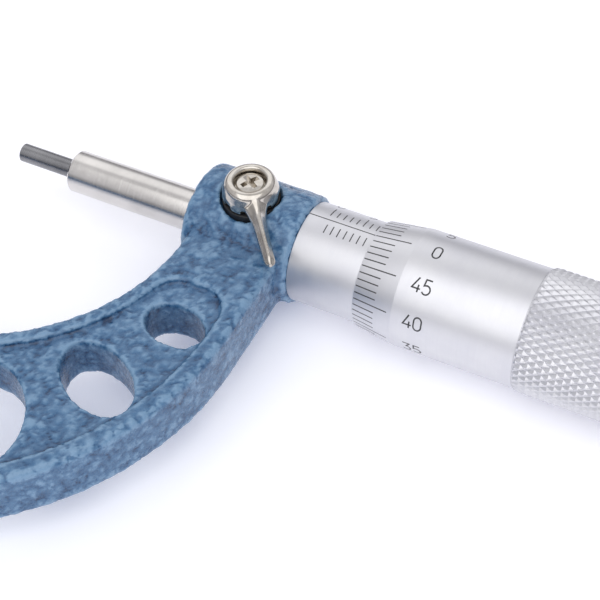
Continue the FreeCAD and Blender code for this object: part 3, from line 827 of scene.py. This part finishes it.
def mark_along(surface, x0, x1, angle, radius, width=LINE):
    """A line along the axis."""
    half = math.degrees(width / 2 / radius)
    steps = 4
    xs = [x0 + (x1 - x0) * k / steps for k in range(steps + 1)]
    return inlay("mark", surface, [(x, angle - half) for x in xs], [(x, angle + half) for x in xs])


def mark_around(surface, x, angle0, angle1, width=LINE):
    """A line round the axis."""
    steps = 8
    angles = [angle0 + (angle1 - angle0) * k / steps for k in range(steps + 1)]
    half = width / 2
    return inlay("mark", surface, [(x - half, a) for a in angles], [(x + half, a) for a in angles])


def arc(cx, cy, rx, ry, a0, a1, steps=10):
    """Points of an arc of an ellipse, angles in degrees."""
    points = []
    for k in range(steps + 1):
        a = math.radians(a0 + (a1 - a0) * k / steps)
        points.append((cx + rx * math.cos(a), cy + ry * math.sin(a)))
    return points


def digit_strokes(digit):
    """Strokes of an engraved numeral in a box 0.62 wide and 1 high: (points, closed)."""
    if digit == "0":
        return [(arc(0.31, 0.70, 0.27, 0.30, 0, 180) + arc(0.31, 0.30, 0.27, 0.30, 180, 360), True)]
    if digit == "1":
        return [([(0.10, 0.74), (0.36, 1.0), (0.36, 0.0)], False)]
    if digit == "2":
        return [(arc(0.31, 0.71, 0.26, 0.29, 165, -25) + [(0.05, 0.0), (0.60, 0.0)], False)]
    if digit == "3":
        top = [(0.05, 1.0), (0.55, 1.0), (0.30, 0.60)]
        return [(top + arc(0.29, 0.30, 0.28, 0.30, 80, -150), False)]
    if digit == "4":
        upright = [(0.46, 0.52), (0.46, 0.0)]
        return [([(0.38, 1.0), (0.03, 0.25), (0.62, 0.25)], False), (upright, False)]
    top = [(0.54, 1.0), (0.12, 1.0), (0.09, 0.56)]
    return [(top + arc(0.29, 0.31, 0.29, 0.31, 115, -145), False)]


def even(points, closed, spacing=0.07):
    """The same stroke with points no further apart than spacing."""
    ends = points + [points[0]] if closed else points
    dense = []
    for a, b in zip(ends, ends[1:]):
        length = math.dist(a, b)
        if length < TINY:
            continue
        count = max(1, math.ceil(length / spacing))
        for k in range(count):
            t = k / count
            dense.append((a[0] + (b[0] - a[0]) * t, a[1] + (b[1] - a[1]) * t))
    if not closed:
        dense.append(points[-1])
    return dense


def stroke_sides(points, closed, half):
    """The two sides of a stroke of even width, mitred at its bends."""
    left, right = [], []
    n = len(points)
    for i, p in enumerate(points):
        before = points[i - 1] if i or closed else p
        after = points[(i + 1) % n] if i < n - 1 or closed else p
        along_in = Vector(p) - Vector(before)
        along_out = Vector(after) - Vector(p)
        if along_in.length < TINY:
            along_in = along_out
        if along_out.length < TINY:
            along_out = along_in
        along_in.normalize()
        along_out.normalize()
        side_in = Vector((-along_in.y, along_in.x))
        side_out = Vector((-along_out.y, along_out.x))
        mitre = (side_in + side_out).normalized()
        reach = half / max(0.5, mitre.dot(side_in))
        left.append(Vector(p) + mitre * reach)
        right.append(Vector(p) - mitre * reach)
    return left, right


def numeral(surface, text, x, angle, height, radius, stroke=0.22, pitch=1.5):
    """Digits read along +X, their tops turned away from the bow."""
    pieces = []
    start = x - pitch * (len(text) - 1) / 2
    for i, digit in enumerate(text):
        for points, closed in digit_strokes(digit):
            dense = even(points, closed)
            sized = [((px - DIGIT_HALF) * height, (py - 0.5) * height) for px, py in dense]
            left, right = stroke_sides(sized, closed, stroke / 2)
            sides = []
            for row in (left, right):
                middle = start + i * pitch
                sides.append([(middle + p.x, angle - math.degrees(p.y / radius)) for p in row])
            pieces.append(inlay("digit", surface, sides[0], sides[1], closed))
    return pieces


def sleeve_scale():
    """Index line, millimetre lines above it, half-millimetre lines below, and numerals."""
    marks = [mark_along(on_sleeve, SLEEVE_X0 + 0.1, SLEEVE_X1 - 0.1, INDEX_ANGLE, SLEEVE_R)]
    for i in range(RANGE + 1):
        x = ZERO_X + i
        far = SLEEVE_LONG if i % 5 == 0 else SLEEVE_SHORT
        marks.append(mark_around(on_sleeve, x, INDEX_ANGLE - SLEEVE_NEAR, INDEX_ANGLE - far))
        if i < RANGE:
            near_end, far_end = INDEX_ANGLE + HALF_NEAR, INDEX_ANGLE + HALF_FAR
            marks.append(mark_around(on_sleeve, x + 0.5, near_end, far_end))
        if i % 5 == 0:
            angle = INDEX_ANGLE - SLEEVE_FIGURES
            marks += numeral(on_sleeve, str(i), x, angle, SLEEVE_DIGIT, SLEEVE_R, 0.17, 1.2)
    piece = joined("sleeve_scale", marks)
    return fit_out(piece, "body", INK)


def thimble_scale():
    """Fifty lines on the bevel, every fifth one longer, and numerals behind them."""
    marks = []
    for i in range(DIVISIONS):
        angle = INDEX_ANGLE + THIMBLE_LEAD - 360.0 * i / DIVISIONS
        length = THIMBLE_LONG if i % 5 == 0 else THIMBLE_SHORT
        marks.append(mark_along(on_thimble, LIP_X + THIMBLE_NEAR, LIP_X + length, angle, SLEEVE_R))
        if i % 5 == 0:
            x = LIP_X + THIMBLE_FIGURES
            marks += numeral(on_thimble, str(i), x, angle + 0.9, THIMBLE_DIGIT, BARREL_R)
    piece = joined("thimble_scale", marks)
    return fit_out(piece, "thimble", INK)


# Spindle lock

LEVER_SWING = -50.5  # degrees from +X at rest
LEVER_REACH = 13.15
LEVER_VOXEL = 0.085
LEVER_SMOOTHING = 14
HEAD_SIDES = 160
NOTCHES = 8
NOTCH_DEPTH = 0.55
SEAT_BORE = 2.65
ARM_ROOT = 2.7  # where the arm starts, inside the ring
ARM_SECTIONS = 30
ARM_TIP = 0.9  # the last stretch, where the arm rounds off in plan
ARM_DROP = 0.75  # and the stretch over which its top bends down, by the same amount
ARM_LOWEST = 6.45  # clear of the bow's face
SCREW_HEAD_R = 2.02
CROSS_TURNS = (20, 110)  # degrees from the arm to each bar of the cross


def lock_ring():
    outline = [(SEAT_Z0, SEAT_BORE), (SEAT_Z0, SEAT_R), (SEAT_Z1, SEAT_R), (SEAT_Z1, SEAT_BORE)]
    piece = turned("lock_ring", outline, SMALL_ROUND, 0.2, "Z", (LOCK_X, 0))
    soften(piece)
    return fit_out(piece, "body", BLACK, ["lock_seat"])


def lever_head():
    """The lever's domed ring over a skirt with notches round its lower edge."""
    base = low("lock_lever")[2] + 1.1
    base = max(base, SEAT_Z1 + 0.15)
    sides = HEAD_SIDES
    outline = [  # height, radius, share of the notches' depth
        (base, 1.2, 0),
        (base, 4.05, 1),
        (base + 0.55, 4.12, 0.9),
        (base + 0.8, 4.10, 0.1),
        (base + 1.5, 4.0, 0),
        (base + 2.0, 3.85, 0),
        (base + 2.5, 3.70, 0),
        (base + 2.85, 3.52, 0),
        (LEVER_TOP - 0.10, 3.22, 0),
        (LEVER_TOP, 2.90, 0),
        (LEVER_TOP, 2.62, 0),
        (LEVER_TOP - 0.10, 2.42, 0),
        (LEVER_TOP - 0.30, 2.32, 0),
        (LEVER_TOP - 1.45, 2.25, 0),
        (LEVER_TOP - 1.45, 1.2, 0),
    ]
    verts, faces = [], []
    for z, r, notch in outline:
        for k in range(sides):
            a = 2 * math.pi * k / sides
            dent = max(0.0, math.cos(NOTCHES * a + math.pi)) ** 0.5
            reach = r - NOTCH_DEPTH * notch * dent
            verts.append((reach * math.cos(a), reach * math.sin(a), z))
    count = len(outline)
    for i in range(count):
        for k in range(sides):
            here, there = i * sides, ((i + 1) % count) * sides
            faces.append((here + k, here + (k + 1) % sides, there + (k + 1) % sides, there + k))
    piece = add_mesh("lever_head", verts, faces)
    mend(piece)
    return piece


def lever_arm():
    """The ridged arm: it leaves the ring in a fillet, tapers, slopes down and ends round."""
    verts, faces = [], []
    for i in range(ARM_SECTIONS + 1):
        t = i / ARM_SECTIONS
        reach = ARM_ROOT + (LEVER_REACH - ARM_ROOT) * t
        fillet = math.exp(-(reach - ARM_ROOT) / 1.05)
        rise = math.exp(-(((reach - ARM_ROOT) / 1.6) ** 2))
        half = 1.06 - 0.26 * t + 1.75 * fillet
        top_z = 9.5 - 1.7 * t + 1.15 * rise
        thick = 1.8 - 0.3 * t + 0.9 * fillet
        left_over = LEVER_REACH - reach
        if left_over < ARM_TIP:
            half *= 0.15 + 0.85 * math.sqrt(max(0.0, 1 - (1 - left_over / ARM_TIP) ** 2))
        if left_over < ARM_DROP:
            top_z -= ARM_DROP * (1 - left_over / ARM_DROP)
        low_z = max(top_z - thick, ARM_LOWEST)
        crest = 0.2 * half
        shoulder = top_z - 0.95 * min(half, 1.15)
        outline = [(-half * 0.9, low_z), (half * 0.9, low_z), (half, (low_z + shoulder) / 2)]
        outline += [(half * 0.92, shoulder), (crest, top_z - 0.06), (0, top_z)]
        outline += [(-crest, top_z - 0.06), (-half * 0.92, shoulder), (-half, (low_z + shoulder) / 2)]
        for y, z in outline:
            verts.append((reach, y, z))
    n = len(outline)
    for i in range(ARM_SECTIONS):
        for k in range(n):
            a, b = i * n + k, i * n + (k + 1) % n
            faces.append((a, b, b + n, a + n))
    faces.append(tuple(range(n)))
    faces.append(tuple(ARM_SECTIONS * n + k for k in range(n)))
    piece = add_mesh("lever_arm", verts, faces)
    mend(piece)
    return piece


def lever_casting():
    """Head and arm fused and smoothed as one plated casting, swung to its rest angle."""
    piece = joined("lever_casting", [lever_head(), lever_arm()])
    remesh(piece, LEVER_VOXEL)
    mesh = piece.data
    points = relaxed(read_points(mesh), read_edges(mesh), LEVER_SMOOTHING)
    a = math.radians(LEVER_SWING)
    x = LOCK_X + points[:, 0] * math.cos(a) - points[:, 1] * math.sin(a)
    y = points[:, 0] * math.sin(a) + points[:, 1] * math.cos(a)
    points[:, 0], points[:, 1] = x, y
    write_points(mesh, points)
    for face in mesh.polygons:
        face.use_smooth = True
    return fit_out(piece, "lever", BRIGHT, ["lock_lever"])


def cross_screw():
    """The lever's screw: a low dome with a tapered cross recess."""
    top = SCREW_TOP
    bottom = LEVER_TOP - 1.5
    outline = [(bottom, 0), (bottom, SCREW_HEAD_R), (top - 0.42, SCREW_HEAD_R), (top - 0.22, 1.86)]
    outline += [(top - 0.10, 1.5), (top - 0.03, 1.0), (top, 0.5), (top, 0)]
    piece = turned("cross_screw", outline, SMALL_ROUND, 0.0, "Z")
    for turn in CROSS_TURNS:
        verts = []
        for z, length, width in ((top + 0.2, 1.62, 0.42), (top - 0.95, 0.7, 0.24)):
            verts += [(-length, -width, z), (length, -width, z), (length, width, z), (-length, width, z)]
        faces = [(0, 1, 2, 3), (7, 6, 5, 4), (0, 4, 5, 1), (1, 5, 6, 2), (2, 6, 7, 3), (3, 7, 4, 0)]
        cutter = add_mesh("cutter", verts, faces)
        mend(cutter)
        cutter.data.transform(Matrix.Rotation(math.radians(turn + LEVER_SWING), 4, "Z"))
        cut_with(piece, cutter)
    piece.data.transform(Matrix.Translation((LOCK_X * MM, 0, 0)))
    soften(piece)
    return fit_out(piece, "lever", BRIGHT, ["lever_screw"])


# Hidden and small pieces keep their CAD shape

def dress_nodes():
    kept = {
        "inner_sleeve": STEEL,
        "adjusting_nut": STEEL,
        "ratchet_shaft": STEEL,
        "fixed_ratchet_wheel": STEEL,
        "moving_ratchet_wheel": STEEL,
        "ratchet_spring": STEEL,
        "ratchet_washer": STEEL,
        "ratchet_screw": STEEL,
        "lock_pad": BRASS,
        "clamp_screw": STEEL,
    }
    for name, material in kept.items():
        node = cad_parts[name]
        node.data.materials.clear()
        node.data.materials.append(material)


# Surroundings

FLOOR_HALF = 9000.0
FLOOR_GAP = 0.02  # below the knurl that the micrometer rests on
CAMERA_LENS = 103.2
CAMERA_PLACE = Vector((ZERO_X + 77.52, -144.61, 180.03))
CAMERA_ANGLES = (29.68, 49.03, -3.61)  # azimuth, elevation and roll in degrees


def floor_material():
    material, tree, shader = new_material("floor", (0.93, 0.93, 0.935), 0.0, 0.65)
    cloud = grain(tree, (40, 40, 40), detail=3.0)
    gloss = spread(tree, cloud.outputs["Fac"], 0.6, 0.7)
    tree.links.new(gloss.outputs["Result"], shader.inputs["Roughness"])
    shader.inputs["Emission Color"].default_value = (0.82, 0.82, 1.0, 1)
    shader.inputs["Emission Strength"].default_value = 0.25
    return material


def floor():
    half = FLOOR_HALF
    z = FLOOR_Z - FLOOR_GAP
    corners = [(-half, -half, z), (half, -half, z), (half, half, z), (-half, half, z)]
    piece = add_mesh("floor", corners, [(0, 1, 2, 3)])
    piece.data.materials.append(floor_material())


def soft_light(name, place_mm, aim_mm, size_mm, power):
    """A rectangular softbox turned towards aim_mm."""
    data = bpy.data.lights.new(name, "AREA")
    data.shape = "RECTANGLE"
    data.size = size_mm[0] * MM
    data.size_y = size_mm[1] * MM
    data.energy = power
    light = bpy.data.objects.new(name, data)
    light.location = Vector(place_mm) * MM
    aim = Vector(aim_mm) * MM - light.location
    light.rotation_euler = aim.to_track_quat("-Z", "Y").to_euler()
    bpy.context.scene.collection.objects.link(light)


def surroundings():
    """A pale studio, darkest just above the horizon, with a key light and a weak back light."""
    world = bpy.data.worlds.new("studio")
    bpy.context.scene.world = world
    world.use_nodes = True
    tree = world.node_tree
    where = tree.nodes.new("ShaderNodeTexCoord")
    parts = tree.nodes.new("ShaderNodeSeparateXYZ")
    tree.links.new(where.outputs["Generated"], parts.inputs["Vector"])
    stops = [
        (0.0, (0.46, 0.46, 0.50)),
        (0.06, (0.28, 0.28, 0.30)),
        (0.18, (0.36, 0.36, 0.38)),
        (0.38, (0.66, 0.66, 0.69)),
        (1.0, (0.76, 0.76, 0.78)),
    ]
    tone = ramp(tree, parts.outputs["Z"], stops)
    back = tree.nodes["Background"]
    back.inputs["Strength"].default_value = 1.0
    tree.links.new(tone.outputs["Color"], back.inputs["Color"])
    soft_light("key", (140, -330, 430), (50, -10, 0), (800, 840), 2.0)
    soft_light("back", (-200, 380, 420), (50, 0, 0), (600, 400), 0.4)


def camera():
    """A long lens on the spindle lock, from the bow's side and well above the micrometer."""
    azimuth, elevation, roll = [math.radians(angle) for angle in CAMERA_ANGLES]
    back = Vector((
        math.sin(azimuth) * math.cos(elevation),
        -math.cos(azimuth) * math.cos(elevation),
        math.sin(elevation),
    ))
    level = Vector((math.cos(azimuth), math.sin(azimuth), 0))
    upward = back.cross(level)
    right = math.cos(roll) * level + math.sin(roll) * upward
    up = math.cos(roll) * upward - math.sin(roll) * level
    data = bpy.data.cameras.new("camera")
    data.lens = CAMERA_LENS
    data.sensor_width = 36.0
    data.clip_start = 0.01
    data.clip_end = 20.0
    eye = bpy.data.objects.new("camera", data)
    turn = Matrix((right, up, back)).transposed().to_4x4()
    eye.matrix_world = Matrix.Translation(CAMERA_PLACE * MM) @ turn
    bpy.context.scene.collection.objects.link(eye)
    bpy.context.scene.camera = eye


frame_casting()
nosed_bar("spindle_bar", "spindle", "spindle", SPINDLE_STEP, high("spindle")[0])
measuring_pin("spindle_tip", "spindle_pin", "spindle")
nosed_bar("anvil_bar", "anvil", "body", ANVIL_STEP, low("anvil")[0])
measuring_pin("anvil_tip", "anvil_pin", "body")
sleeve_tube()
thimble_shell()
thimble_grip()
knob_shell()
knob_grip()
sleeve_scale()
thimble_scale()
lock_ring()
lever_casting()
cross_screw()
dress_nodes()
floor()
surroundings()
camera()
bpy.context.scene.view_settings.view_transform = "Standard"
